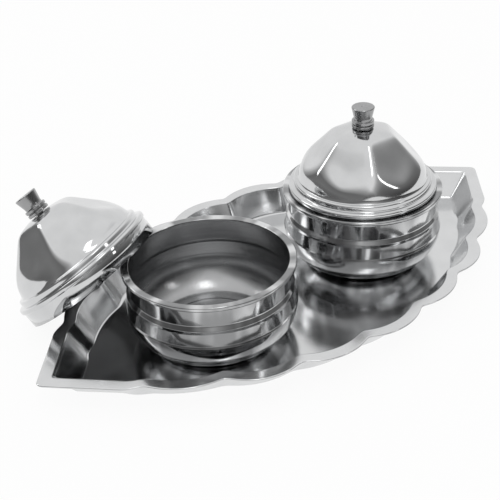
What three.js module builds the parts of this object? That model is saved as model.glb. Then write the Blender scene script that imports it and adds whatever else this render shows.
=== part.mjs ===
// A stainless steel kumkum set: a leaf shaped scalloped tray with two small lidded bowls.
// Millimetres, +Z up. The origin is under the middle of the tray, on the surface that it stands on.
// +X runs along the tray's long axis and -Y is its front.
import * as THREE from "three";

// Clearance between pieces that touch
const seatGap = 0.3;

// Tray, a pressed sheet: a flat level rim, a fluted wall and a flat dish
const traySheet = 0.8;
const trayHeight = 11.2;
const trayTipX = 116.4;
const tipRound = 2.6;
// How much tighter the tip's round gets for each millimetre that an outline is drawn in, and its least
const tipRoundLoss = 0.2;
const tipRoundLeast = 0.6;
const sideAngle = 131.1;
// Inward corners between the scallops of one quarter, from the tip to the middle of the long side
const notches = [
  [89.3, 25.6],
  [66.2, 41.4],
  [40.8, 52.8],
  [14.1, 58.6],
];
// How far each scallop stands out past the line between its corners, the middle one last
const bulges = [3.8, 5.0, 4.5, 4.6];
const notchInward = [
  [-0.76, -0.65],
  [-0.57, -0.82],
  [-0.34, -0.94],
  [-0.16, -0.99],
];
// Where the straight side ends and the rounded shoulder before the first corner begins
const shoulderStart = [97.6, 20.4];
const shoulderControl = [95.6, 23.5];
const rimWidth = 5.0;
const rimWidthAtNotch = 4.4;
const wallInset = 6.4;
const wallInsetAtNotch = 5.0;
const rimEdgeRound = 0.5;
const rimCornerRound = 0.25;
const dishRound = 1.2;
const scallopSteps = 5;

// Bowls, spun from sheet
const bowlSheet = 0.8;
const bowlHeight = 31.4;
const rimRadius = 32.5;
const lipHeight = 1.9;
const lipRound = 0.45;
const lipSlope = 0.1;
const lipInnerRadius = 31.0;
const neckRadius = 30.4;
const ledgeTopZ = 22.2;
const ledgeLowZ = 20.6;
const ledgeRadius = 31.4;
const bellyZ = 13.9;
const bellyRadius = 32.4;
// The pressed crease above the belly: how far it steps in and how high it is
const creaseStep = 0.25;
const creaseRise = 0.8;
// How far the round under the belly stands out past a straight line to the foot
const underBulge = 2.45;
const underSteps = 4;
const baseRadius = 23.4;
const baseRecess = 0.5;
const baseRingWidth = 4.6;
const baseSlope = 1.0;
const innerDrop = 0.3;
const bowlAt = [
  [-42.6, -4.6],
  [38.5, -3.3],
];
const bowlSegments = 36;

// Lids, spun dome with six pressed facets
const lidSheet = 0.7;
const skirtDepth = 6.1;
const beadRadius = 30.0;
const beadTop = 1.7;
const stepRadius = 27.9;
const stepTop = 4.2;
const domeRadius = 26.0;
const domeBaseZ = 5.3;
const lidRound = 0.4;
// The dome's swell between its base and the facets, least under their low points
const swell = 0.7;
const swellLeast = 0.4;
const swellRise = 8;
const swellAt = 0.45;
const facetTopRadius = 12.6;
const facetTopZ = 23.9;
const facetSideRadius = 20.2;
const facetPointRadius = 21.4;
const facetSlope = 1.16;
const crownRadius = 4.9;
const crownZ = 25.3;
const crownRise = 0.1;
const lidSegments = 36;
// Turn of the facets of the closed lid and of the lid that leans, in degrees
const facetTurn = [55.8, 58];
// The open lid stands on its skirt's edge and leans on the left bowl's rim: the compass from the bowl
// to it, how far it is off to the side, and how far across the skirt's edge the rim touches it
const leanCompass = 119.7;
const leanAside = 3.3;
const leanAcross = 0.9;
const leanGap = 0.1;

// Knobs, turned from bar, each held by a screw from inside the dome
const knobTopRadius = 4.6;
const knobWaistRadius = 3.65;
const knobCollarRadius = 4.45;
const knobCollarHeight = 2.9;
const knobHeight = 8.4;
const knobWaistHeight = 1.0;
const knobGroove = 0.3;
const knobRound = 0.3;
const knobDimple = 0.7;
const knobSegments = 18;
const screwRadius = 1.3;
const screwHeadRadius = 3.0;
const screwHeadHeight = 1.4;
const screwHeadRound = 0.4;
const screwReach = 4.2;
const screwSegments = 12;

const steel = (color, roughness) =>
  new THREE.MeshStandardMaterial({ color, roughness, metalness: 1 });

const traySteel = steel(0xb9bcbe, 0.06);
const bowlSteel = steel(0xb2b5b7, 0.1);
const lidSteel = steel(0xbfc2c4, 0.06);
const knobSteel = steel(0x8d8f91, 0.22);
const screwSteel = steel(0x9a9c9e, 0.35);

// One mesh from a list of triangles given as vertex triples
function meshOf(name, triangles, material) {
  const geometry = new THREE.BufferGeometry();
  geometry.setAttribute("position", new THREE.Float32BufferAttribute(triangles.flat(2), 3));
  geometry.computeVertexNormals();
  const mesh = new THREE.Mesh(geometry, material.clone());
  mesh.name = name;
  return mesh;
}

// Triangles between two rings of the same number of points
function band(lower, upper) {
  const out = [];
  for (let i = 0; i < lower.length; i++) {
    const j = (i + 1) % lower.length;
    out.push([lower[i], lower[j], upper[j]]);
    out.push([lower[i], upper[j], upper[i]]);
  }
  return out;
}

// Triangles from a ring to the point at its middle, facing up or down
function disc(ring, z, up) {
  const middle = [0, 0, z];
  return ring.map((p, i) => {
    const q = ring[(i + 1) % ring.length];
    return up ? [p, q, middle] : [q, p, middle];
  });
}

// A solid of revolution from a profile of radius and height, outer side first
function turned(name, profile, segments, material) {
  const points = profile.map(([r, z]) => new THREE.Vector2(r, z));
  const geometry = new THREE.LatheGeometry(points, segments);
  geometry.rotateX(Math.PI / 2);
  const mesh = new THREE.Mesh(geometry, material.clone());
  mesh.name = name;
  return mesh;
}

// Points along an arc from a to b that stands out by bulge, without b
function arc(a, b, bulge, steps) {
  const start = new THREE.Vector2(...a);
  const end = new THREE.Vector2(...b);
  const half = start.distanceTo(end) / 2;
  const along = end.clone().sub(start).normalize();
  const out = new THREE.Vector2(along.y, -along.x);
  const radius = (half * half + bulge * bulge) / (2 * bulge);
  const sweep = Math.asin(half / radius);
  const middle = start.clone().add(end).multiplyScalar(0.5).addScaledVector(out, bulge - radius);
  const points = [];
  for (let i = 0; i < steps; i++) {
    const turn = sweep * ((2 * i) / steps - 1);
    const p = middle
      .clone()
      .addScaledVector(along, radius * Math.sin(turn))
      .addScaledVector(out, radius * Math.cos(turn));
    points.push([p.x, p.y]);
  }
  return points;
}

// One closed outline of the tray, drawn in by different amounts at its sides, corners and scallops
function trayOutline(side, atNotch, z) {
  const turn = THREE.MathUtils.degToRad(sideAngle);
  const along = [Math.cos(turn), Math.sin(turn)];
  const inward = [-along[1], along[0]];
  const tip = trayTipX - side / along[1];
  const round = Math.max(tipRound - side * tipRoundLoss, tipRoundLeast);
  const centre = tip - round / along[1];
  const quarter = [];
  const sweep = Math.PI / 2 - (Math.PI - turn);
  for (let i = 0; i <= 2; i++) {
    const angle = (sweep * i) / 2;
    quarter.push([centre + round * Math.cos(angle), round * Math.sin(angle)]);
  }
  const move = (p, d, s) => [p[0] + d[0] * s, p[1] + d[1] * s];
  const corners = notches.map((p, k) => move(p, notchInward[k], atNotch));
  const bend = new THREE.QuadraticBezierCurve(
    new THREE.Vector2(...move(shoulderStart, inward, side)),
    new THREE.Vector2(...move(shoulderControl, inward, (side + atNotch) / 2)),
    new THREE.Vector2(...corners[0]),
  );
  for (let i = 0; i < 3; i++) {
    const p = bend.getPoint(i / 3);
    quarter.push([p.x, p.y]);
  }
  const sag = bulges.map((b) => b - (side - atNotch));
  for (let k = 0; k < 3; k++)
    quarter.push(...arc(corners[k], corners[k + 1], sag[k], scallopSteps));
  const last = corners[3];
  const middle = arc(last, [-last[0], last[1]], sag[3], 2 * scallopSteps);
  quarter.push(...middle.slice(0, scallopSteps));
  const top = middle[scallopSteps];
  const left = quarter.map(([x, y]) => [-x, y]).reverse();
  const upper = [...quarter, top, ...left];
  const lower = upper.slice(1, -1).map(([x, y]) => [x, -y]).reverse();
  return [...upper, ...lower].map(([x, y]) => [x, y, z]);
}

function makeTray() {
  const t = traySheet;
  const rim = (s, z) => trayOutline(s, (s * rimWidthAtNotch) / rimWidth, z);
  const floorSide = rimWidth + wallInset;
  const floorNotch = rimWidthAtNotch + wallInsetAtNotch;
  const floor = (s, z) => trayOutline(floorSide + s, floorNotch + s, z);
  const rings = [
    floor(dishRound, 0),
    floor(-t, dishRound),
    rim(rimWidth - t, trayHeight - t - rimEdgeRound),
    rim(rimWidth - t - rimEdgeRound, trayHeight - t),
    rim(rimCornerRound, trayHeight - t),
    rim(0, trayHeight - t / 2),
    rim(rimCornerRound, trayHeight),
    rim(rimWidth - rimEdgeRound, trayHeight),
    rim(rimWidth, trayHeight - rimEdgeRound),
    floor(0, t + dishRound),
    floor(dishRound, t),
  ];
  const triangles = disc(rings[0], 0, false);
  for (let i = 0; i + 1 < rings.length; i++) triangles.push(...band(rings[i], rings[i + 1]));
  triangles.push(...disc(rings[rings.length - 1], t, true));
  return meshOf("tray", triangles, traySteel);
}

function makeBowl(name) {
  const t = bowlSheet;
  const lipLow = bowlHeight - lipHeight;
  const inner = neckRadius - t;
  const ringIn = baseRadius - baseRingWidth;
  const bellyIn = [bellyRadius - t, bellyZ - innerDrop];
  const profile = [
    [0, baseRecess],
    [ringIn - baseSlope, baseRecess],
    [ringIn, 0],
    ...arc([baseRadius, 0], [bellyRadius, bellyZ], underBulge, underSteps),
    [bellyRadius, bellyZ],
    [bellyRadius - creaseStep, bellyZ + creaseRise],
    [ledgeRadius, ledgeLowZ],
    [neckRadius, ledgeTopZ],
    [neckRadius, lipLow],
    [rimRadius - lipRound, lipLow],
    [rimRadius, lipLow + lipRound],
    [rimRadius, bowlHeight - lipRound],
    [rimRadius - lipRound, bowlHeight],
    [lipInnerRadius, bowlHeight - lipSlope],
    [inner, bowlHeight - lipRound],
    [inner, ledgeTopZ - innerDrop],
    [ledgeRadius - t, ledgeLowZ - innerDrop],
    [bellyIn[0] - creaseStep, bellyIn[1] + creaseRise],
    bellyIn,
    ...arc([baseRadius - t / 2, t], bellyIn, underBulge, underSteps).reverse(),
    [ringIn + t / 2, t],
    [ringIn + t / 2 - baseSlope, baseRecess + t],
    [0, baseRecess + t],
  ];
  return turned(name, profile, bowlSegments, bowlSteel);
}

// A ring of the lid, where radius and height may follow the facets round the dome
function lidRing(turn, shape) {
  const ring = [];
  for (let i = 0; i < lidSegments; i++) {
    const around = (2 * Math.PI * i) / lidSegments;
    const angle = around + THREE.MathUtils.degToRad(turn);
    const [r, z] = shape(around);
    ring.push([r * Math.cos(angle), r * Math.sin(angle), z]);
  }
  return ring;
}

// The skirt hangs inside the bowl's neck
const skirtRadius = neckRadius - bowlSheet - seatGap;

// Facets: each is a plane between a side of the crown's hexagon and a point low on the dome.
// Corners of the hexagon are at 0, 60, 120 degrees and so on, and the low points halfway between.
const sixth = Math.PI / 3;
const facetPlaneZ = (across) => facetTopZ - facetSlope * (across - facetTopRadius * Math.cos(sixth / 2));

function facetTop(around) {
  const off = (around % sixth) - sixth / 2;
  const across = facetTopRadius * Math.cos(sixth / 2);
  return [across / Math.cos(off), facetPlaneZ(across)];
}

function facetEdge(around) {
  const off = Math.abs((around % sixth) - sixth / 2);
  const side = [facetSideRadius * Math.cos(sixth / 2), facetSideRadius * Math.sin(sixth / 2)];
  const slope = (side[0] - facetPointRadius) / side[1];
  const across = facetPointRadius / (1 - slope * Math.tan(off));
  return [across / Math.cos(off), facetPlaneZ(across)];
}

function makeLid(name, turn) {
  const t = lidSheet;
  const hole = screwRadius + seatGap;
  const tilt = Math.atan(facetSlope);
  const level = (r, z) => lidRing(turn, () => [r, z]);
  const swelling = (inward, drop) =>
    lidRing(turn, (around) => {
      const [r, z] = facetEdge(around);
      const grown = (z - facetPlaneZ(facetPointRadius)) / swellRise;
      return [
        domeRadius + (r - domeRadius) * swellAt + swell * (swellLeast + grown) - inward,
        domeBaseZ + (z - domeBaseZ) * swellAt - drop,
      ];
    });
  const shrunk = (shape, inward, drop) =>
    lidRing(turn, (around) => {
      const [r, z] = shape(around);
      return [r - inward, z - drop];
    });
  const rings = [
    level(skirtRadius, -skirtDepth),
    level(skirtRadius, 0),
    level(beadRadius - lidRound / 2, 0),
    level(beadRadius, lidRound),
    level(beadRadius, beadTop - lidRound),
    level(beadRadius - lidRound, beadTop),
    level(stepRadius, beadTop + lidRound),
    level(stepRadius, stepTop - lidRound),
    level(stepRadius - lidRound, stepTop),
    level(domeRadius + lidRound, stepTop + lidRound),
    level(domeRadius, domeBaseZ),
    swelling(0, 0),
    shrunk(facetEdge, 0, 0),
    shrunk(facetTop, 0, 0),
    level(crownRadius, crownZ),
    level(hole, crownZ + crownRise),
    level(hole, crownZ + crownRise - t),
    level(crownRadius, crownZ - t),
    shrunk(facetTop, t * Math.sin(tilt / 2), t * Math.cos(tilt / 2)),
    shrunk(facetEdge, t * Math.sin(tilt), t * Math.cos(tilt)),
    swelling(t, 0),
    level(domeRadius - t, domeBaseZ - lidRound),
    level(stepRadius - t - lidRound, stepTop - t),
    level(stepRadius - t, beadTop - lidRound),
    level(skirtRadius - t, beadTop - t),
    level(skirtRadius - t, -skirtDepth),
  ];
  const triangles = [];
  for (let i = 0; i < rings.length; i++)
    triangles.push(...band(rings[i], rings[(i + 1) % rings.length]));
  return meshOf(name, triangles, lidSteel);
}

function makeKnob(name) {
  const bore = screwRadius + seatGap;
  const boreTop = screwReach + seatGap;
  const groove = knobCollarHeight / 2;
  const waistLow = knobCollarHeight + knobRound / 2;
  const profile = [
    [bore, 0],
    [knobCollarRadius - knobRound, 0],
    [knobCollarRadius, knobRound],
    [knobCollarRadius, groove - knobGroove],
    [knobWaistRadius, groove],
    [knobCollarRadius, groove + knobGroove],
    [knobCollarRadius, knobCollarHeight - knobRound / 2],
    [knobWaistRadius, waistLow],
    [knobWaistRadius, waistLow + knobWaistHeight],
    [knobTopRadius, knobHeight - knobRound],
    [knobTopRadius - knobRound, knobHeight],
    [knobDimple, knobHeight],
    [0, knobHeight - knobDimple],
    [0, boreTop],
    [bore, boreTop],
    [bore, 0],
  ];
  return turned(name, profile, knobSegments, knobSteel);
}

function makeScrew(name) {
  const top = screwHeadHeight + lidSheet + 2 * seatGap + screwReach;
  const profile = [
    [0, 0],
    [screwHeadRadius - screwHeadRound, 0],
    [screwHeadRadius, screwHeadRound],
    [screwHeadRadius, screwHeadHeight],
    [screwRadius, screwHeadHeight],
    [screwRadius, top],
    [0, top],
  ];
  return turned(name, profile, screwSegments, screwSteel);
}

// A lid with its knob and screw, in the lid's own frame with the seat at height 0
function lidGroup(side, turn) {
  const group = new THREE.Group();
  const lid = makeLid("lid_" + side, turn);
  const knob = makeKnob("knob_" + side);
  const screw = makeScrew("knob_screw_" + side);
  knob.position.z = crownZ + crownRise + seatGap;
  screw.position.z = crownZ + crownRise - lidSheet - seatGap - screwHeadHeight;
  group.add(lid, knob, screw);
  return group;
}

const bowlSeatZ = traySheet + seatGap;
const bowlTopZ = bowlSeatZ + bowlHeight;

const kumkumSet = new THREE.Group();
kumkumSet.add(makeTray());

const bowlLeft = makeBowl("bowl_left");
bowlLeft.position.set(...bowlAt[0], bowlSeatZ);
const bowlRight = makeBowl("bowl_right");
bowlRight.position.set(...bowlAt[1], bowlSeatZ);
kumkumSet.add(bowlLeft, bowlRight);

// The closed lid: its bead sits on the slope inside the bowl's lip
const closedLid = lidGroup("right", facetTurn[0]);
closedLid.position.set(...bowlAt[1], bowlTopZ - lipSlope + seatGap);
kumkumSet.add(closedLid);

// The open lid: the height of the rim sets how steeply it leans, and the rim's edge how far off it stands
const openLid = lidGroup("left", facetTurn[1]);
const compass = THREE.MathUtils.degToRad(leanCompass);
const leanAxis = new THREE.Vector3(-Math.sin(compass), Math.cos(compass), 0);
const lean = Math.asin(bowlTopZ / (2 * skirtRadius * leanAcross));
const touchAside = 2 * skirtRadius * Math.sqrt(leanAcross * (1 - leanAcross)) - leanAside;
const touchAway = Math.sqrt((rimRadius + leanGap) ** 2 - touchAside ** 2);
const edgeAway = touchAway + 2 * skirtRadius * leanAcross * Math.cos(lean);
const seatAway = edgeAway - skirtRadius * Math.cos(lean) + skirtDepth * Math.sin(lean);
openLid.quaternion.setFromAxisAngle(leanAxis, lean);
openLid.position.set(
  bowlAt[0][0] + seatAway * Math.cos(compass) + leanAside * leanAxis.x,
  bowlAt[0][1] + seatAway * Math.sin(compass) + leanAside * leanAxis.y,
  seatGap + skirtRadius * Math.sin(lean) + skirtDepth * Math.cos(lean),
);
kumkumSet.add(openLid);

export default kumkumSet;
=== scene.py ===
import math

import bmesh
import bpy
from mathutils import Matrix, Vector


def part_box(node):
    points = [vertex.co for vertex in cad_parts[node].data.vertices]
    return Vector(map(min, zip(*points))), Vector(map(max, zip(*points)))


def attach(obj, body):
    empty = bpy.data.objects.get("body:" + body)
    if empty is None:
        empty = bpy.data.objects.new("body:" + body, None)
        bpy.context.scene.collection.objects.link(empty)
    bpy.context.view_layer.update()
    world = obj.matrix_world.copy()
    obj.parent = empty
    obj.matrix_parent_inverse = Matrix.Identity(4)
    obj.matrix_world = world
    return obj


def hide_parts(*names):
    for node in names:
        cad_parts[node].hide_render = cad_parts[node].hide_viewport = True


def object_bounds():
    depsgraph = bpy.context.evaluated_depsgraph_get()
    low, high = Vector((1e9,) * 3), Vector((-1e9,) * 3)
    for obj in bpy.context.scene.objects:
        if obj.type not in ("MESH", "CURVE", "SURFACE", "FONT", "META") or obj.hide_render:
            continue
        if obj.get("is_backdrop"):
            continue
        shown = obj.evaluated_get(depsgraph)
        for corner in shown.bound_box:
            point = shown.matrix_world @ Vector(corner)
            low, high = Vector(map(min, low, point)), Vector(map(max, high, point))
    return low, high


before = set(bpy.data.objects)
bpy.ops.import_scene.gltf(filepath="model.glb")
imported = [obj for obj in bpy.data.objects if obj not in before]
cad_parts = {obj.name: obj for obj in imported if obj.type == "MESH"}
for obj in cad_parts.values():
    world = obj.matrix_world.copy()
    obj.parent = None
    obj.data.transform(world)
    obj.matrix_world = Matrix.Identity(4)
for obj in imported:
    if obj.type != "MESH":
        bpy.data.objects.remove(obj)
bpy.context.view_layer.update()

mm = 0.001

# Polished steel kumkum set: a scalloped tray, two small bowls and their faceted lids, one lid off.
# Metres, +Z up. Sections are lists of (across, up, rounding) in millimetres.

# the least turn that is rounded, and the most of a straight side that a rounding at its end may take
leastTurn = 0.01
sideShare = 0.45


def rounded(points, steps=5, support=0.3):
    # corners become arcs, with a close point beyond each end so that mirror shading stays true
    out = []
    count = len(points)
    for i, (a, b, radius) in enumerate(points):
        here = Vector((a, b))
        if radius <= 0 or i in (0, count - 1):
            out.append((a, b))
            continue
        before = Vector(points[i - 1][:2])
        after = Vector(points[i + 1][:2])
        back = before - here
        ahead = after - here
        turn = math.pi - back.angle(ahead)
        if turn < leastTurn:
            out.append((a, b))
            continue
        reach = min(radius * math.tan(turn / 2), sideShare * back.length, sideShare * ahead.length)
        r = reach / math.tan(turn / 2)
        centre = here + (back.normalized() + ahead.normalized()).normalized() * (r / math.cos(turn / 2))
        first = here + back.normalized() * reach
        last = here + ahead.normalized() * reach
        if back.length * sideShare > reach + support:
            edge = first + back.normalized() * support
            out.append((edge.x, edge.y))
        side = 1 if (first - centre).cross(last - centre) > 0 else -1
        start = math.atan2(first.y - centre.y, first.x - centre.x)
        for k in range(steps + 1):
            angle = start + side * turn * k / steps
            out.append((centre.x + r * math.cos(angle), centre.y + r * math.sin(angle)))
        if ahead.length * sideShare > reach + support:
            edge = last + ahead.normalized() * support
            out.append((edge.x, edge.y))
    return out


def curveThrough(start, middle, end, steps):
    # points of the circle through three points, without its two ends
    ax, ay = start
    bx, by = middle
    cx, cy = end
    d = 2 * (ax * (by - cy) + bx * (cy - ay) + cx * (ay - by))
    sa, sb, sc = ax * ax + ay * ay, bx * bx + by * by, cx * cx + cy * cy
    ux = (sa * (by - cy) + sb * (cy - ay) + sc * (ay - by)) / d
    uy = (sa * (cx - bx) + sb * (ax - cx) + sc * (bx - ax)) / d
    r = math.hypot(ax - ux, ay - uy)
    first = math.atan2(ay - uy, ax - ux)
    last = math.atan2(cy - uy, cx - ux)
    sweep = (last - first + math.pi) % (2 * math.pi) - math.pi
    turns = [first + sweep * k / steps for k in range(1, steps)]
    return [(ux + r * math.cos(t), uy + r * math.sin(t), 0) for t in turns]


# Finishes

marks = dict(
    hairTurn=(0.3, 0.2, 0.6), hairStretch=(1.0, 0.06, 0.3),
    heightShare=1.3, driftScale=40.0, bandShare=0.12,
    upShare=12.0, reflectionStripeFrom=0.40, reflectionStripeTo=0.62,
)


def addNode(tree, kind, **values):
    node = tree.nodes.new(kind)
    for key, value in values.items():
        if key in node.bl_rna.properties:
            setattr(node, key, value)
        else:
            node.inputs[key].default_value = value
    return node


def mathNode(tree, operation, *parts):
    node = tree.nodes.new("ShaderNodeMath")
    node.operation = operation
    for i, part in enumerate(parts):
        if isinstance(part, (int, float)):
            node.inputs[i].default_value = part
        else:
            tree.links.new(part, node.inputs[i])
    return node.outputs[0]


def newShaderGroup(name, inputs, outputs):
    group = bpy.data.node_groups.new(name, "ShaderNodeTree")
    for socketName, kind, value in inputs:
        socket = group.interface.new_socket(socketName, in_out="INPUT", socket_type=kind)
        if value is not None:
            socket.default_value = value
    for socketName, kind in outputs:
        group.interface.new_socket(socketName, in_out="OUTPUT", socket_type=kind)
    return group, group.nodes.new("NodeGroupInput"), group.nodes.new("NodeGroupOutput")


def addShare(tree, total, part, share):
    return mathNode(tree, "ADD", total, mathNode(tree, "MULTIPLY", part, share))


def noiseAt(group, place, scale, detail, dimensions="3D"):
    noise = group.nodes.new("ShaderNodeTexNoise")
    noise.noise_dimensions = dimensions
    noise.inputs["Detail"].default_value = detail
    group.links.new(place, noise.inputs["W" if dimensions == "1D" else "Vector"])
    if isinstance(scale, (int, float)):
        noise.inputs["Scale"].default_value = scale
    else:
        group.links.new(scale, noise.inputs["Scale"])
    return noise.outputs[0]


def axisDistance(group, split):
    xx = mathNode(group, "MULTIPLY", split.outputs[0], split.outputs[0])
    yy = mathNode(group, "MULTIPLY", split.outputs[1], split.outputs[1])
    return mathNode(group, "SQRT", mathNode(group, "ADD", xx, yy))


def makePolishGroup():
    # buffed sheet: slow waves left by the press, fine hairlines and faint smudges
    group, start, end = newShaderGroup(
        "buffedSheet",
        [("Place", "NodeSocketVector", None), ("Wave Scale", "NodeSocketFloat", 60.0),
         ("Hair Scale", "NodeSocketFloat", 900.0), ("Smudge Scale", "NodeSocketFloat", 90.0)],
        [("Wave", "NodeSocketFloat"), ("Hair", "NodeSocketFloat"), ("Smudge", "NodeSocketFloat")],
    )
    place = start.outputs["Place"]
    group.links.new(noiseAt(group, place, start.outputs["Wave Scale"], 1.0), end.inputs["Wave"])
    stretch = addNode(group, "ShaderNodeMapping")
    stretch.inputs["Rotation"].default_value = marks["hairTurn"]
    stretch.inputs["Scale"].default_value = marks["hairStretch"]
    group.links.new(place, stretch.inputs["Vector"])
    hair = noiseAt(group, stretch.outputs[0], start.outputs["Hair Scale"], 3.0)
    group.links.new(hair, end.inputs["Hair"])
    group.links.new(noiseAt(group, place, start.outputs["Smudge Scale"], 4.0), end.inputs["Smudge"])
    return group


def makeTurningGroup():
    # rings left by a lathe tool, from the distance to the piece's own axis and the height on it
    group, start, end = newShaderGroup(
        "turningMarks",
        [("Place", "NodeSocketVector", None), ("Rings Per Metre", "NodeSocketFloat", 2500.0),
         ("Drift", "NodeSocketFloat", 0.4)],
        [("Groove", "NodeSocketFloat"), ("Band", "NodeSocketFloat")],
    )
    split = addNode(group, "ShaderNodeSeparateXYZ")
    group.links.new(start.outputs["Place"], split.inputs[0])
    path = addShare(group, axisDistance(group, split), split.outputs[2], marks["heightShare"])
    slow = noiseAt(group, start.outputs["Place"], marks["driftScale"], 1.0)
    drift = mathNode(group, "MULTIPLY", slow, start.outputs["Drift"])
    along = addShare(group, path, drift, mm)
    groove = noiseAt(group, along, start.outputs["Rings Per Metre"], 2.0, "1D")
    group.links.new(groove, end.inputs["Groove"])
    coarse = mathNode(group, "MULTIPLY", start.outputs["Rings Per Metre"], marks["bandShare"])
    group.links.new(noiseAt(group, along, coarse, 1.0, "1D"), end.inputs["Band"])
    return group


def makeStrokeAndReflectionGroup():
    # strokes along the axis, and broad soft stripes that are painted reflection for the colour, the same
    # all the way round without a seam
    group, start, end = newShaderGroup(
        "axisStrokesAndPaintedReflection",
        [("Place", "NodeSocketVector", None), ("Strokes Around", "NodeSocketFloat", 60.0),
         ("Stripes Around", "NodeSocketFloat", 3.0)],
        [("Stroke", "NodeSocketFloat"), ("Painted Reflection Stripe", "NodeSocketFloat")],
    )
    split = addNode(group, "ShaderNodeSeparateXYZ")
    group.links.new(start.outputs["Place"], split.inputs[0])
    radius = mathNode(group, "MAXIMUM", axisDistance(group, split), mm)
    joined = addNode(group, "ShaderNodeCombineXYZ")
    group.links.new(mathNode(group, "DIVIDE", split.outputs[0], radius), joined.inputs[0])
    group.links.new(mathNode(group, "DIVIDE", split.outputs[1], radius), joined.inputs[1])
    group.links.new(mathNode(group, "MULTIPLY", split.outputs[2], marks["upShare"]), joined.inputs[2])
    stroke = noiseAt(group, joined.outputs[0], start.outputs["Strokes Around"], 3.0)
    group.links.new(stroke, end.inputs["Stroke"])
    broad = noiseAt(group, joined.outputs[0], start.outputs["Stripes Around"], 1.5)
    sharper = addNode(group, "ShaderNodeMapRange", interpolation_type="SMOOTHSTEP")
    sharper.inputs["From Min"].default_value = marks["reflectionStripeFrom"]
    sharper.inputs["From Max"].default_value = marks["reflectionStripeTo"]
    group.links.new(broad, sharper.inputs["Value"])
    group.links.new(sharper.outputs[0], end.inputs["Painted Reflection Stripe"])
    return group


polishGroup = makePolishGroup()
turningGroup = makeTurningGroup()
strokeAndReflectionGroup = makeStrokeAndReflectionGroup()


def steelFinish(name, look):
    material = bpy.data.materials.new(name)
    material.use_nodes = True
    tree = material.node_tree
    shader = tree.nodes["Principled BSDF"]
    shader.inputs["Metallic"].default_value = 1.0
    own = addNode(tree, "ShaderNodeAttribute", attribute_name="ownPlace")
    place = own.outputs["Vector"]
    polish = addNode(tree, "ShaderNodeGroup", node_tree=polishGroup)
    polish.inputs["Wave Scale"].default_value = look["waveScale"]
    polish.inputs["Hair Scale"].default_value = look["hairScale"]
    tree.links.new(place, polish.inputs["Place"])
    height = mathNode(tree, "MULTIPLY", polish.outputs["Wave"], look["wave"])
    if look.get("wallWave"):
        # the pressed wall between the dish and the rim is less even than the level sheet
        split = addNode(tree, "ShaderNodeSeparateXYZ")
        tree.links.new(place, split.inputs[0])
        aboveDish = mathNode(tree, "GREATER_THAN", split.outputs[2], look["wallLow"] * mm)
        belowRim = mathNode(tree, "LESS_THAN", split.outputs[2], look["wallHigh"] * mm)
        onWall = mathNode(tree, "MULTIPLY", aboveDish, belowRim)
        uneven = mathNode(tree, "MULTIPLY", polish.outputs["Wave"], look["wallWave"])
        height = addShare(tree, height, uneven, onWall)
    hair = mathNode(tree, "MULTIPLY", polish.outputs["Hair"], look["hair"])
    height = mathNode(tree, "ADD", height, hair)
    blur = mathNode(tree, "MULTIPLY", polish.outputs["Smudge"], look["smudge"])
    shade = polish.outputs["Smudge"]
    if look.get("groove"):
        turning = addNode(tree, "ShaderNodeGroup", node_tree=turningGroup)
        turning.inputs["Rings Per Metre"].default_value = look["ringsPerMetre"]
        tree.links.new(place, turning.inputs["Place"])
        height = addShare(tree, height, turning.outputs["Groove"], look["groove"])
        blur = addShare(tree, blur, turning.outputs["Band"], look["bandBlur"])
    if look.get("stroke"):
        strokes = addNode(tree, "ShaderNodeGroup", node_tree=strokeAndReflectionGroup)
        strokes.inputs["Strokes Around"].default_value = look["strokesAround"]
        tree.links.new(place, strokes.inputs["Place"])
        strokes.inputs["Stripes Around"].default_value = look["stripesAround"]
        height = addShare(tree, height, strokes.outputs["Stroke"], look["stroke"])
        # with stripes asked for, the colour follows the broad stripes: painted reflection of dark and
        # light surroundings, not a pattern in the steel
        shade = strokes.outputs["Painted Reflection Stripe"] if look["paintedReflectionStripes"] else shade
    bump = addNode(tree, "ShaderNodeBump")
    bump.inputs["Strength"].default_value = 1.0
    bump.inputs["Distance"].default_value = mm
    tree.links.new(height, bump.inputs["Height"])
    tree.links.new(bump.outputs[0], shader.inputs["Normal"])
    rough = mathNode(tree, "ADD", blur, look["rough"])
    tree.links.new(rough, shader.inputs["Roughness"])
    tint = addNode(tree, "ShaderNodeMix", data_type="RGBA")
    tint.inputs["A"].default_value = (*look["dark"], 1)
    tint.inputs["B"].default_value = (*look["light"], 1)
    tree.links.new(shade, tint.inputs["Factor"])
    tree.links.new(tint.outputs["Result"], shader.inputs["Base Color"])
    return material


trayLook = dict(rough=0.08, smudge=0.14, wave=0.05, waveScale=45, hair=0.002, hairScale=900,
                wallWave=0.2, wallLow=1.6, wallHigh=10.2,
                dark=(0.60, 0.605, 0.61), light=(0.74, 0.745, 0.75))
# the stripes outside are painted reflection: dark and light bands in the colour stand in for the
# surroundings the bowls mirror, since the white floor would fill them
bowlLook = dict(rough=0.05, smudge=0.10, wave=0.035, waveScale=60, hair=0.002, hairScale=900,
                stroke=0.012, strokesAround=14, stripesAround=3.2, paintedReflectionStripes=True,
                dark=(0.28, 0.283, 0.287), light=(0.72, 0.725, 0.73))
# inside the bowl the satin turned finish is real, and the low base colour is painted shade for the dark
# hollow
bowlInsideLook = dict(rough=0.13, smudge=0.10, wave=0.02, waveScale=50, hair=0.004, hairScale=700,
                      groove=0.010, ringsPerMetre=2600, bandBlur=0.10,
                      stroke=0.03, strokesAround=26, stripesAround=9, paintedReflectionStripes=False,
                      dark=(0.34, 0.343, 0.347), light=(0.52, 0.524, 0.53))
lidLook = dict(rough=0.045, smudge=0.09, wave=0.06, waveScale=70, hair=0.002, hairScale=900,
               dark=(0.52, 0.525, 0.53), light=(0.72, 0.725, 0.73))
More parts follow.
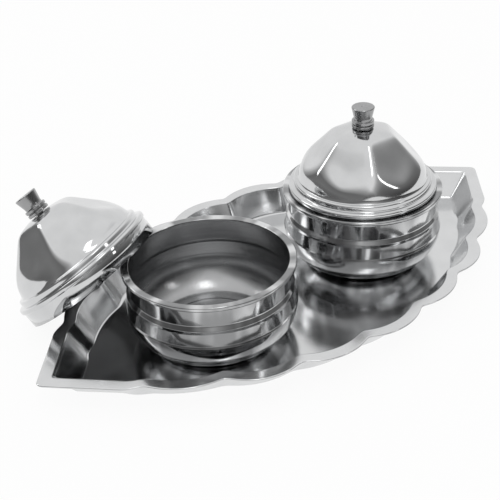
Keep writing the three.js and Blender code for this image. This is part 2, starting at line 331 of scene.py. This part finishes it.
# the lid's underside keeps a rougher turned finish, and its very dark base colour is painted shade for
# the dark inside of the lid
lidInsideLook = dict(rough=0.30, smudge=0.16, wave=0.02, waveScale=60, hair=0.004, hairScale=700,
                     groove=0.008, ringsPerMetre=2600, bandBlur=0.08,
                     dark=(0.17, 0.172, 0.175), light=(0.27, 0.272, 0.275))
knobLook = dict(rough=0.14, smudge=0.06, wave=0.0, waveScale=60, hair=0.0, hairScale=900,
                groove=0.003, ringsPerMetre=1500, bandBlur=0.10,
                dark=(0.26, 0.262, 0.265), light=(0.44, 0.442, 0.445))
screwLook = dict(rough=0.28, smudge=0.12, wave=0.0, waveScale=60, hair=0.004, hairScale=900,
                 groove=0.012, ringsPerMetre=4200, bandBlur=0.1,
                 dark=(0.40, 0.402, 0.405), light=(0.55, 0.552, 0.555))

traySteel = steelFinish("tray_steel_finish", trayLook)
bowlSteel = steelFinish("bowl_steel_finish_and_painted_reflection", bowlLook)
bowlInsideSteel = steelFinish("bowl_inside_finish_and_painted_shade", bowlInsideLook)
lidSteel = steelFinish("lid_steel_finish", lidLook)
lidInsideSteel = steelFinish("lid_inside_finish_and_painted_shade", lidInsideLook)
knobSteel = steelFinish("knob_steel_finish", knobLook)
screwSteel = steelFinish("screw_steel_finish", screwLook)
print("finishes made")


# Making and placing pieces

meshing = dict(joinWithin=0.002, degenerate=0.001, turnedJoin=0.005, railRadius=10)


def meshFrom(name, points, faces):
    mesh = bpy.data.meshes.new(name)
    mesh.from_pydata(points, [], faces)
    return mesh


def tidyMesh(mesh):
    work = bmesh.new()
    work.from_mesh(mesh)
    bmesh.ops.remove_doubles(work, verts=work.verts, dist=meshing["joinWithin"] * mm)
    bmesh.ops.dissolve_degenerate(work, edges=work.edges, dist=meshing["degenerate"] * mm)
    bmesh.ops.recalc_face_normals(work, faces=work.faces)
    work.to_mesh(mesh)
    work.free()
    mesh.shade_smooth()


def keepOwnPlace(mesh):
    # the piece's own coordinates stay with it, so that its marks follow its own axis
    spot = mesh.attributes.new("ownPlace", "FLOAT_VECTOR", "POINT")
    flat = [c for v in mesh.vertices for c in v.co]
    spot.data.foreach_set("vector", flat)


def placePiece(name, mesh, matrix, body, node):
    keepOwnPlace(mesh)
    mesh.transform(matrix)
    piece = bpy.data.objects.new(name, mesh)
    bpy.context.scene.collection.objects.link(piece)
    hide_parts(node)
    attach(piece, body)


def makeTurnedTree():
    # a profile in the XZ plane is carried round the Z axis
    tree = bpy.data.node_groups.new("turnedForm", "GeometryNodeTree")
    tree.interface.new_socket("Profile", in_out="INPUT", socket_type="NodeSocketGeometry")
    tree.interface.new_socket("Steps Around", in_out="INPUT", socket_type="NodeSocketInt")
    tree.interface.new_socket("Rail Radius", in_out="INPUT", socket_type="NodeSocketFloat")
    tree.interface.new_socket("Finish", in_out="INPUT", socket_type="NodeSocketMaterial")
    tree.interface.new_socket("Form", in_out="OUTPUT", socket_type="NodeSocketGeometry")
    start = tree.nodes.new("NodeGroupInput")
    end = tree.nodes.new("NodeGroupOutput")
    position = tree.nodes.new("GeometryNodeInputPosition")
    split = tree.nodes.new("ShaderNodeSeparateXYZ")
    joined = tree.nodes.new("ShaderNodeCombineXYZ")
    across = mathNode(tree, "SUBTRACT", split.outputs[0], start.outputs["Rail Radius"])
    down = mathNode(tree, "MULTIPLY", split.outputs[2], -1.0)
    tree.links.new(position.outputs[0], split.inputs[0])
    tree.links.new(across, joined.inputs[0])
    tree.links.new(down, joined.inputs[1])
    flat = tree.nodes.new("GeometryNodeSetPosition")
    tree.links.new(start.outputs["Profile"], flat.inputs["Geometry"])
    tree.links.new(joined.outputs[0], flat.inputs["Position"])
    profile = tree.nodes.new("GeometryNodeMeshToCurve")
    tree.links.new(flat.outputs[0], profile.inputs[0])
    rail = tree.nodes.new("GeometryNodeCurvePrimitiveCircle")
    tree.links.new(start.outputs["Steps Around"], rail.inputs["Resolution"])
    tree.links.new(start.outputs["Rail Radius"], rail.inputs["Radius"])
    sweep = tree.nodes.new("GeometryNodeCurveToMesh")
    tree.links.new(rail.outputs[0], sweep.inputs["Curve"])
    tree.links.new(profile.outputs[0], sweep.inputs["Profile Curve"])
    merge = tree.nodes.new("GeometryNodeMergeByDistance")
    merge.inputs["Distance"].default_value = meshing["turnedJoin"] * mm
    tree.links.new(sweep.outputs[0], merge.inputs[0])
    realize = tree.nodes.new("GeometryNodeRealizeInstances")
    tree.links.new(merge.outputs[0], realize.inputs[0])
    finish = tree.nodes.new("GeometryNodeSetMaterial")
    tree.links.new(realize.outputs[0], finish.inputs["Geometry"])
    tree.links.new(start.outputs["Finish"], finish.inputs["Material"])
    tree.links.new(finish.outputs[0], end.inputs[0])
    return tree


turnedTree = makeTurnedTree()


def turned(name, profile, steps, finish, closed=False):
    points = [(a * mm, 0, b * mm) for a, b in profile]
    edges = [(i, i + 1) for i in range(len(points) - 1)]
    if closed:
        edges.append((len(points) - 1, 0))
    mesh = bpy.data.meshes.new(name + "Profile")
    mesh.from_pydata(points, edges, [])
    holder = bpy.data.objects.new(name + "Profile", mesh)
    bpy.context.scene.collection.objects.link(holder)
    modifier = holder.modifiers.new("turnedForm", "NODES")
    modifier.node_group = turnedTree
    values = {"Steps Around": steps, "Rail Radius": meshing["railRadius"] * mm, "Finish": finish}
    for item in turnedTree.interface.items_tree:
        if item.in_out == "INPUT" and item.name in values:
            modifier[item.identifier] = values[item.name]
    bpy.context.view_layer.update()
    seen = holder.evaluated_get(bpy.context.evaluated_depsgraph_get())
    made = bpy.data.meshes.new_from_object(seen)
    holder.modifiers.remove(modifier)
    bpy.data.objects.remove(holder)
    tidyMesh(made)
    return made


def sheetWall(name, mesh, thickness):
    # gives an open formed sheet its thickness on the inner side and returns the solid mesh
    holder = bpy.data.objects.new(name + "Sheet", mesh)
    bpy.context.scene.collection.objects.link(holder)
    wall = holder.modifiers.new("sheetWall", "SOLIDIFY")
    wall.thickness = thickness
    wall.offset = -1
    wall.use_even_offset = True
    wall.material_offset = 1
    bpy.context.view_layer.update()
    seen = holder.evaluated_get(bpy.context.evaluated_depsgraph_get())
    made = bpy.data.meshes.new_from_object(seen)
    holder.modifiers.remove(wall)
    bpy.data.objects.remove(holder)
    made.shade_smooth()
    return made


def ringFaces(ringCount, perRing):
    faces = []
    for k in range(ringCount - 1):
        below, above = k * perRing, (k + 1) * perRing
        for i in range(perRing):
            j = (i + 1) % perRing
            faces.append((below + i, below + j, above + j, above + i))
    return faces


# Tray

tray = dict(
    sheet=0.8, height=11.2, tipX=116.4, tipRound=2.6, tipRoundLoss=0.2, tipRoundLeast=0.6,
    sideAngle=131.1, tipSteps=4, sideSteps=12, bendSteps=8,
    notches=[(89.3, 25.6), (66.2, 41.4), (40.8, 52.8), (14.1, 58.6)],
    bulges=[3.8, 5.0, 4.5, 4.6],
    notchInward=[(-0.76, -0.65), (-0.57, -0.82), (-0.34, -0.94), (-0.16, -0.99)],
    shoulderStart=(97.6, 20.4), shoulderControl=(95.6, 23.5),
    rimWidth=5.0, rimWidthAtNotch=4.4, wallInset=6.4, wallInsetAtNotch=5.0,
    scallopSteps=20, softRounds=2,
    floorMargin=6.0, foldShare=0.9, floorRound=1.6, foldRound=0.7, edgeRound=0.35,
)


def arcPoints(a, b, bulge, steps):
    start, end = Vector(a), Vector(b)
    half = (end - start).length / 2
    along = (end - start).normalized()
    out = Vector((along.y, -along.x))
    radius = (half * half + bulge * bulge) / (2 * bulge)
    sweep = math.asin(half / radius)
    middle = (start + end) / 2 + out * (bulge - radius)
    points = []
    for i in range(steps):
        turn = sweep * (2 * i / steps - 1)
        p = middle + along * (radius * math.sin(turn)) + out * (radius * math.cos(turn))
        points.append((p.x, p.y))
    return points


def trayRing(side):
    # one outline of the tray, drawn in by side and by less at the corners between the scallops
    t = tray
    if side < t["rimWidth"]:
        atNotch = side * t["rimWidthAtNotch"] / t["rimWidth"]
    else:
        share = (side - t["rimWidth"]) / t["wallInset"]
        atNotch = t["rimWidthAtNotch"] + share * t["wallInsetAtNotch"]
    turn = math.radians(t["sideAngle"])
    tip = t["tipX"] - side / math.sin(turn)
    tipRound = max(t["tipRound"] - side * t["tipRoundLoss"], t["tipRoundLeast"])
    centre = tip - tipRound / math.sin(turn)
    quarter = []
    for i in range(t["tipSteps"] + 1):
        angle = (turn - math.pi / 2) * i / t["tipSteps"]
        quarter.append((centre + tipRound * math.cos(angle), tipRound * math.sin(angle)))
    inward = Vector((-math.sin(turn), math.cos(turn)))
    corners = [Vector(p) + Vector(d) * atNotch for p, d in zip(t["notches"], t["notchInward"])]
    first = Vector(t["shoulderStart"]) + inward * side
    control = Vector(t["shoulderControl"]) + inward * (side + atNotch) / 2
    lastTip = Vector(quarter[-1])
    for i in range(1, t["sideSteps"]):
        p = lastTip.lerp(first, i / t["sideSteps"])
        quarter.append((p.x, p.y))
    for i in range(t["bendSteps"]):
        s = i / t["bendSteps"]
        p = first * (1 - s) ** 2 + control * (2 * s * (1 - s)) + corners[0] * s * s
        quarter.append((p.x, p.y))
    sag = [b - (side - atNotch) for b in t["bulges"]]
    for k in range(3):
        quarter += arcPoints(corners[k], corners[k + 1], sag[k], t["scallopSteps"])
    lastCorner = corners[3]
    middle = arcPoints(lastCorner, (-lastCorner.x, lastCorner.y), sag[3], 2 * t["scallopSteps"])
    quarter += middle[: t["scallopSteps"] + 1]
    top = quarter.pop()
    left = [(-x, y) for x, y in reversed(quarter)]
    upper = quarter + [top] + left
    ring = upper + [(x, -y) for x, y in reversed(upper[1:-1])]
    for _ in range(t["softRounds"]):
        count = len(ring)
        ring = [((ring[i - 1][0] + 2 * x + ring[(i + 1) % count][0]) / 4,
                 (ring[i - 1][1] + 2 * y + ring[(i + 1) % count][1]) / 4)
                for i, (x, y) in enumerate(ring)]
    return ring


def makeTrayMesh():
    t = tray
    sheet, top = t["sheet"], t["height"]
    floorSide = t["rimWidth"] + t["wallInset"]
    fold = t["foldShare"] * sheet
    section = rounded([
        (floorSide + t["floorMargin"], 0, 0),
        (floorSide, 0, t["floorRound"]),
        (t["rimWidth"] - fold, top - sheet, t["foldRound"]),
        (0.0, top - sheet, t["edgeRound"]),
        (0.0, top, t["edgeRound"]),
        (t["rimWidth"], top, t["foldRound"]),
        (floorSide + fold, sheet, t["floorRound"]),
        (floorSide + t["floorMargin"], sheet, 0),
    ], steps=4)
    rings = [(trayRing(s), z) for s, z in section]
    points = [(x * mm, y * mm, z * mm) for ring, z in rings for x, y in ring]
    perRing = len(rings[0][0])
    faces = ringFaces(len(rings), perRing)
    low, high = len(points), len(points) + 1
    points += [(0, 0, 0), (0, 0, sheet * mm)]
    lastStart = (len(rings) - 1) * perRing
    for i in range(perRing):
        j = (i + 1) % perRing
        faces.append((j, i, low))
        faces.append((lastStart + i, lastStart + j, high))
    mesh = meshFrom("tray_fine", points, faces)
    mesh.materials.append(traySteel)
    tidyMesh(mesh)
    return mesh


placePiece("tray_fine", makeTrayMesh(), Matrix.Identity(4), "tray", "tray")
print("tray made")

# Bowls

bowl = dict(
    sheet=0.8, height=31.4, rimRadius=32.5, lipHeight=1.9, neckRadius=30.4,
    ledgeTopZ=22.2, ledgeLowZ=20.6, ledgeRadius=31.4, bellyZ=13.9, bellyRadius=32.4,
    baseRadius=23.4, baseRecess=0.5, baseRingWidth=4.6, stepsAround=160,
    footOut=6.6, footUp=5.7, innerFootOut=5.9, innerFootUp=6.0, footSteps=14,
    foldRound=0.6, neckRound=0.8, ledgeRound=3.0,
    insideTopDrop=0.8, insideReach=32.0, insideLowShare=0.6, inward=-0.1, sloping=0.3, level=0.95,
)


def bowlProfile():
    b = bowl
    t = b["sheet"]
    lipLow = b["height"] - b["lipHeight"]
    inner = b["neckRadius"] - t
    ringIn = b["baseRadius"] - b["baseRingWidth"]
    foot, belly = (b["baseRadius"], 0.0), (b["bellyRadius"], b["bellyZ"])
    under = curveThrough(foot, (b["baseRadius"] + b["footOut"], b["footUp"]), belly, b["footSteps"])
    footIn, bellyIn = (b["baseRadius"] - 0.4, t), (b["bellyRadius"] - t, b["bellyZ"] - 0.2)
    innerFoot = (b["baseRadius"] + b["innerFootOut"], b["innerFootUp"])
    inside = curveThrough(bellyIn, innerFoot, footIn, b["footSteps"])
    return rounded([
        (0, b["baseRecess"], 0),
        (ringIn - 1, b["baseRecess"], b["foldRound"]),
        (ringIn, 0, b["foldRound"]),
        (*foot, 0),
        *under,
        (*belly, 0.3),
        (b["bellyRadius"] - 0.35, b["bellyZ"] + 0.7, b["foldRound"]),
        (b["ledgeRadius"] - 0.05, b["ledgeLowZ"] - 1.2, b["ledgeRound"]),
        (b["ledgeRadius"], b["ledgeLowZ"], 0.5),
        (b["neckRadius"], b["ledgeTopZ"], b["neckRound"]),
        (b["neckRadius"], lipLow, b["foldRound"]),
        (b["rimRadius"], lipLow, b["foldRound"]),
        (b["rimRadius"], b["height"], b["foldRound"]),
        (inner, b["height"] - 0.3, 0.5),
        (inner, b["ledgeTopZ"] - 0.2, b["neckRound"]),
        (b["ledgeRadius"] - t, b["ledgeLowZ"] - 0.4, b["neckRound"]),
        (b["bellyRadius"] - t - 0.2, b["bellyZ"] + 0.6, b["neckRound"]),
        (*bellyIn, 0),
        *inside,
        (*footIn, 0),
        (ringIn + 0.4, t, b["foldRound"]),
        (ringIn - 0.8, b["baseRecess"] + t, b["foldRound"]),
        (0, b["baseRecess"] + t, 0),
    ])


def makeBowlMesh(name):
    b = bowl
    mesh = turned(name, bowlProfile(), b["stepsAround"], bowlSteel)
    mesh.materials.append(bowlInsideSteel)
    lowest = (b["baseRecess"] + b["sheet"] * 0.5) * mm * b["insideLowShare"]
    highest = (b["height"] - b["insideTopDrop"]) * mm
    for face in mesh.polygons:
        middle = face.center
        out = face.normal.dot(Vector((middle.x, middle.y, 0)).normalized())
        up = face.normal.z
        facesIn = out < b["inward"] or (up > b["sloping"] and (out <= 0 or up >= b["level"]))
        within = lowest < middle.z < highest and middle.xy.length < b["insideReach"] * mm
        face.material_index = 1 if facesIn and within else 0
    return mesh


for side in ("left", "right"):
    low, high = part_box("bowl_" + side)
    seat = Matrix.Translation(((low.x + high.x) / 2, (low.y + high.y) / 2, low.z))
    name = "bowl_" + side
    placePiece(name + "_fine", makeBowlMesh(name), seat, name, name)
print("bowls made")

# Lids

lid = dict(
    sheet=0.7, skirtRadius=29.3, skirtDepth=6.1, beadRadius=30.0, beadTop=1.7, stepRadius=27.9,
    stepTop=4.2, domeRadius=26.0, domeBaseZ=5.3, facetTopRadius=12.6, facetTopZ=23.9,
    facetSideRadius=20.2, facetPointRadius=21.4, facetSlope=1.16, crownRadius=4.9, crownZ=25.3,
    crownRise=0.1, holeRadius=1.6, bulge=0.7, bulgeLeast=1.7, bulgeRise=8, stepsPerFacet=32,
    softRounds=20, domeSteps=12, facetSteps=14, crownSteps=8, holeSteps=3,
    facetTurn=dict(left=58.0, right=55.8),
    leanAt=(-71.0, 38.52, 23.16), leanCompass=119.7, leanAngle=38.04, seatZ=32.7,
    beadFall=0.4, domeFootOut=0.4, domeFootUp=0.3,
)
sixth = math.pi / 3


def facetPlaneZ(across):
    return lid["facetTopZ"] - lid["facetSlope"] * (across - lid["facetTopRadius"] * math.cos(sixth / 2))


def facetTop(around):
    off = around % sixth - sixth / 2
    across = lid["facetTopRadius"] * math.cos(sixth / 2)
    return across / math.cos(off), facetPlaneZ(across)


def facetEdge(around):
    off = abs(around % sixth - sixth / 2)
    sideX = lid["facetSideRadius"] * math.cos(sixth / 2)
    sideY = lid["facetSideRadius"] * math.sin(sixth / 2)
    slope = (sideX - lid["facetPointRadius"]) / sideY
    across = lid["facetPointRadius"] / (1 - slope * math.tan(off))
    return across / math.cos(off), facetPlaneZ(across)


def level(across, up):
    return lambda around: (across, up)


def between(a, b, share):
    def shape(around):
        ra, za = a(around)
        rb, zb = b(around)
        return ra + (rb - ra) * share, za + (zb - za) * share
    return shape


def belowFacets(share):
    # from the dome's base to the facets' lower edge, swelling out on the way
    d = lid
    reference = facetPlaneZ(d["facetPointRadius"])

    def shape(around):
        r, z = facetEdge(around)
        grown = d["bulgeLeast"] + (z - reference) / d["bulgeRise"]
        swell = d["bulge"] * grown * 4 * share * (1 - share)
        across = d["domeRadius"] + (r - d["domeRadius"]) * share + swell
        return across, d["domeBaseZ"] + (z - d["domeBaseZ"]) * share
    return shape


def makeLidMesh(name, turnDegrees):
    d = lid
    perRing = 6 * d["stepsPerFacet"]
    lower = rounded([
        (d["skirtRadius"], -d["skirtDepth"], 0),
        (d["skirtRadius"], 0, 0.3),
        (d["beadRadius"], 0, 0.5),
        (d["beadRadius"], d["beadTop"], 0.8),
        (d["stepRadius"], d["beadTop"] + d["beadFall"], 0.5),
        (d["stepRadius"], d["stepTop"], 0.8),
        (d["domeRadius"] + d["domeFootOut"], d["stepTop"] + d["domeFootUp"], 0.5),
        (d["domeRadius"], d["domeBaseZ"], 0),
    ], steps=4)
    shapes = [level(*p) for p in lower]
    domeStart = len(shapes)
    crown = level(d["crownRadius"], d["crownZ"])
    hole = level(d["holeRadius"], d["crownZ"] + d["crownRise"])
    spans = [(facetEdge, facetTop, d["facetSteps"]), (facetTop, crown, d["crownSteps"]),
             (crown, hole, d["holeSteps"])]
    shapes += [belowFacets(k / d["domeSteps"]) for k in range(1, d["domeSteps"] + 1)]
    for a, b, steps in spans:
        shapes += [between(a, b, k / steps) for k in range(1, steps + 1)]
    points = []
    for shape in shapes:
        for i in range(perRing):
            around = 2 * math.pi * i / perRing
            r, z = shape(around)
            angle = around + math.radians(turnDegrees)
            points.append((r * math.cos(angle) * mm, r * math.sin(angle) * mm, z * mm))
    mesh = meshFrom(name, points, ringFaces(len(shapes), perRing))
    mesh.materials.append(lidSteel)
    mesh.materials.append(lidInsideSteel)
    work = bmesh.new()
    work.from_mesh(mesh)
    work.verts.ensure_lookup_table()
    dome = [v for v in work.verts if domeStart * perRing <= v.index < (len(shapes) - 1) * perRing]
    for _ in range(d["softRounds"]):
        bmesh.ops.smooth_vert(
            work, verts=dome, factor=0.5, use_axis_x=True, use_axis_y=True, use_axis_z=True)
    bmesh.ops.recalc_face_normals(work, faces=work.faces)
    work.faces.ensure_lookup_table()
    skirtFace = work.faces[0]
    outward = skirtFace.calc_center_median() * Vector((1, 1, 0))
    if skirtFace.normal.dot(outward) < 0:
        bmesh.ops.reverse_faces(work, faces=work.faces)
    work.to_mesh(mesh)
    work.free()
    return sheetWall(name, mesh, d["sheet"] * mm)


# Knobs and their screws

knob = dict(topRadius=4.6, waistRadius=3.65, collarRadius=4.45, collarHeight=2.9, height=8.4,
            dimple=0.7, boreRadius=1.6, boreDepth=4.5, seatGap=0.3, stepsAround=72,
            grooveHalf=0.3, chamfer=0.3, waistStart=0.1, waistBend=1.0, waistRound=6.0)
screw = dict(radius=1.3, headRadius=3.0, headHeight=1.4, reach=4.2, stepsAround=48)


def knobProfile():
    k = knob
    groove = k["collarHeight"] * 0.5
    return rounded([
        (k["boreRadius"], 0, 0),
        (k["collarRadius"], 0, 0.3),
        (k["collarRadius"], groove - k["grooveHalf"], 0.15),
        (k["waistRadius"], groove, 0.1),
        (k["collarRadius"], groove + k["grooveHalf"], 0.15),
        (k["collarRadius"], k["collarHeight"], 0.3),
        (k["waistRadius"], k["collarHeight"] + k["waistStart"], 0.2),
        (k["waistRadius"], k["collarHeight"] + k["waistBend"], k["waistRound"]),
        (k["topRadius"], k["height"] - k["chamfer"], 0.25),
        (k["topRadius"] - k["chamfer"], k["height"], 0.25),
        (k["dimple"], k["height"], 0.1),
        (0, k["height"] - k["dimple"], 0),
        (0, k["boreDepth"], 0),
        (k["boreRadius"], k["boreDepth"], 0),
    ], steps=4, support=0.1)


def screwProfile():
    s = screw
    end = s["headHeight"] + lid["sheet"] + 2 * knob["seatGap"] + s["reach"]
    return rounded([
        (0, 0, 0),
        (s["headRadius"], 0, 0.6),
        (s["headRadius"], s["headHeight"], 0.15),
        (s["radius"], s["headHeight"], 0.1),
        (s["radius"], end, 0.2),
        (0, end, 0),
    ], steps=4, support=0.1)


def lidMatrix(side):
    if side == "right":
        low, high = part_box("bowl_right")
        return Matrix.Translation(((low.x + high.x) / 2, (low.y + high.y) / 2, lid["seatZ"] * mm))
    compass = math.radians(lid["leanCompass"])
    axis = Vector((-math.sin(compass), math.cos(compass), 0))
    lean = Matrix.Rotation(math.radians(lid["leanAngle"]), 4, axis)
    return Matrix.Translation([c * mm for c in lid["leanAt"]]) @ lean


for side in ("left", "right"):
    body = "lid_" + side
    seat = lidMatrix(side)
    up = lid["crownZ"] + lid["crownRise"]
    screwUp = up - lid["sheet"] - knob["seatGap"] - screw["headHeight"]
    knobSeat = seat @ Matrix.Translation((0, 0, (up + knob["seatGap"]) * mm))
    screwSeat = seat @ Matrix.Translation((0, 0, screwUp * mm))
    lidMesh = makeLidMesh(body, lid["facetTurn"][side])
    knobMesh = turned("knob_" + side, knobProfile(), knob["stepsAround"], knobSteel, closed=True)
    screwMesh = turned("knob_screw_" + side, screwProfile(), screw["stepsAround"], screwSteel)
    placePiece(body + "_fine", lidMesh, seat, body, body)
    placePiece("knob_" + side + "_fine", knobMesh, knobSeat, body, "knob_" + side)
    screwName = "knob_screw_" + side
    placePiece(screwName + "_fine", screwMesh, screwSeat, body, screwName)
print("lids, knobs and screws made")

# Floor, surroundings, lamps and camera

studio = dict(
    floorSize=6.0, floorDrop=0.1, floorColour=(0.96, 0.96, 0.96), floorGlow=0.93,
    skyLight=0.95, lampAim=(0, 0, 0.02),
    darkAreas=[
        dict(towards=(-0.80, 0.20, -0.56),
             stops=[(0.04, 1.0), (0.18, 0.50), (0.34, 0.20), (0.60, 0.24), (1.0, 0.08)]),
        dict(towards=(0.45, -0.80, -0.30), stops=[(0.18, 1.0), (0.40, 0.50), (0.62, 0.22), (0.95, 0.05)]),
    ],
)


def makeFloor():
    size = studio["floorSize"]
    z = -studio["floorDrop"] * mm
    corners = [(-size, -size, z), (size, -size, z), (size, size, z), (-size, size, z)]
    mesh = meshFrom("floor", corners, [(0, 1, 2, 3)])
    floor = bpy.data.objects.new("floor", mesh)
    bpy.context.scene.collection.objects.link(floor)
    material = bpy.data.materials.new("floor_white")
    material.use_nodes = True
    tree = material.node_tree
    tree.nodes.clear()
    out = tree.nodes.new("ShaderNodeOutputMaterial")
    lit = addNode(tree, "ShaderNodeBsdfDiffuse")
    lit.inputs["Color"].default_value = (*studio["floorColour"], 1)
    glow = addNode(tree, "ShaderNodeEmission")
    glow.inputs["Strength"].default_value = 1.0
    path = addNode(tree, "ShaderNodeLightPath")
    seen = mathNode(tree, "MAXIMUM", path.outputs["Is Camera Ray"], path.outputs["Is Glossy Ray"])
    seen = mathNode(tree, "MAXIMUM", seen, path.outputs["Is Transmission Ray"])
    share = mathNode(tree, "MULTIPLY", seen, studio["floorGlow"])
    mix = addNode(tree, "ShaderNodeMixShader")
    tree.links.new(share, mix.inputs[0])
    tree.links.new(lit.outputs[0], mix.inputs[1])
    tree.links.new(glow.outputs[0], mix.inputs[2])
    tree.links.new(mix.outputs[0], out.inputs["Surface"])
    mesh.materials.append(material)
    floor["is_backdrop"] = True


def makeSurroundings():
    # an even bright studio with two dark areas, low on the left and low on the viewer's right
    world = bpy.data.worlds.new("studio")
    bpy.context.scene.world = world
    world.use_nodes = True
    tree = world.node_tree
    back = tree.nodes["Background"]
    coords = addNode(tree, "ShaderNodeTexCoord")
    light = studio["skyLight"]
    for area in studio["darkAreas"]:
        dot = addNode(tree, "ShaderNodeVectorMath", operation="DOT_PRODUCT")
        dot.inputs[1].default_value = area["towards"]
        tree.links.new(coords.outputs["Generated"], dot.inputs[0])
        ramp = addNode(tree, "ShaderNodeValToRGB")
        stops = area["stops"]
        elements = ramp.color_ramp.elements
        elements[0].position, elements[1].position = stops[0][0], stops[-1][0]
        for position, value in stops[1:-1]:
            elements.new(position)
        for element, (_, value) in zip(elements, stops):
            element.color = (value, value, value, 1)
        tree.links.new(dot.outputs["Value"], ramp.inputs[0])
        light = mathNode(tree, "MULTIPLY", ramp.outputs[0], light)
    tree.links.new(light, back.inputs["Color"])
    back.inputs["Strength"].default_value = 1.0


lamps = {
    "softboxLeft": dict(at=(-0.55, 0.88, 0.78), size=(0.30, 0.6), power=1.5),
    "softboxRight": dict(at=(0.5, -1.0, 0.8), size=(0.12, 0.5), power=0.5),
    "softboxTop": dict(at=(-0.19, -0.41, 1.22), size=(0.24, 0.5), power=1.0),
}


def makeLamps():
    for name, lamp in lamps.items():
        light = bpy.data.lights.new(name, "AREA")
        light.shape = "RECTANGLE"
        light.size, light.size_y = lamp["size"]
        light.energy = lamp["power"]
        holder = bpy.data.objects.new(name, light)
        holder.location = lamp["at"]
        aim = Vector(studio["lampAim"]) - Vector(lamp["at"])
        holder.rotation_euler = aim.to_track_quat("-Z", "Y").to_euler()
        bpy.context.scene.collection.objects.link(holder)


cameraSettings = dict(
    at=(-0.22656, -0.26009, 0.2263), lens=72.58, sensor=36.0,
    right=(0.76384, -0.64381, -0.0456), up=(0.36506, 0.37271, 0.8532), ahead=(0.53234, 0.66833, -0.5197),
)


def makeCamera():
    c = cameraSettings
    camera = bpy.data.cameras.new("camera")
    camera.lens = c["lens"]
    camera.sensor_width = c["sensor"]
    holder = bpy.data.objects.new("camera", camera)
    right, up, ahead = (Vector(c[k]).normalized() for k in ("right", "up", "ahead"))
    turn = Matrix((right, up, -ahead)).transposed().to_4x4()
    holder.matrix_world = Matrix.Translation(c["at"]) @ turn
    bpy.context.scene.collection.objects.link(holder)
    bpy.context.scene.camera = holder


makeFloor()
makeSurroundings()
makeLamps()
makeCamera()
bpy.context.scene.view_settings.view_transform = "Standard"
print("studio made")

low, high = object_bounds()
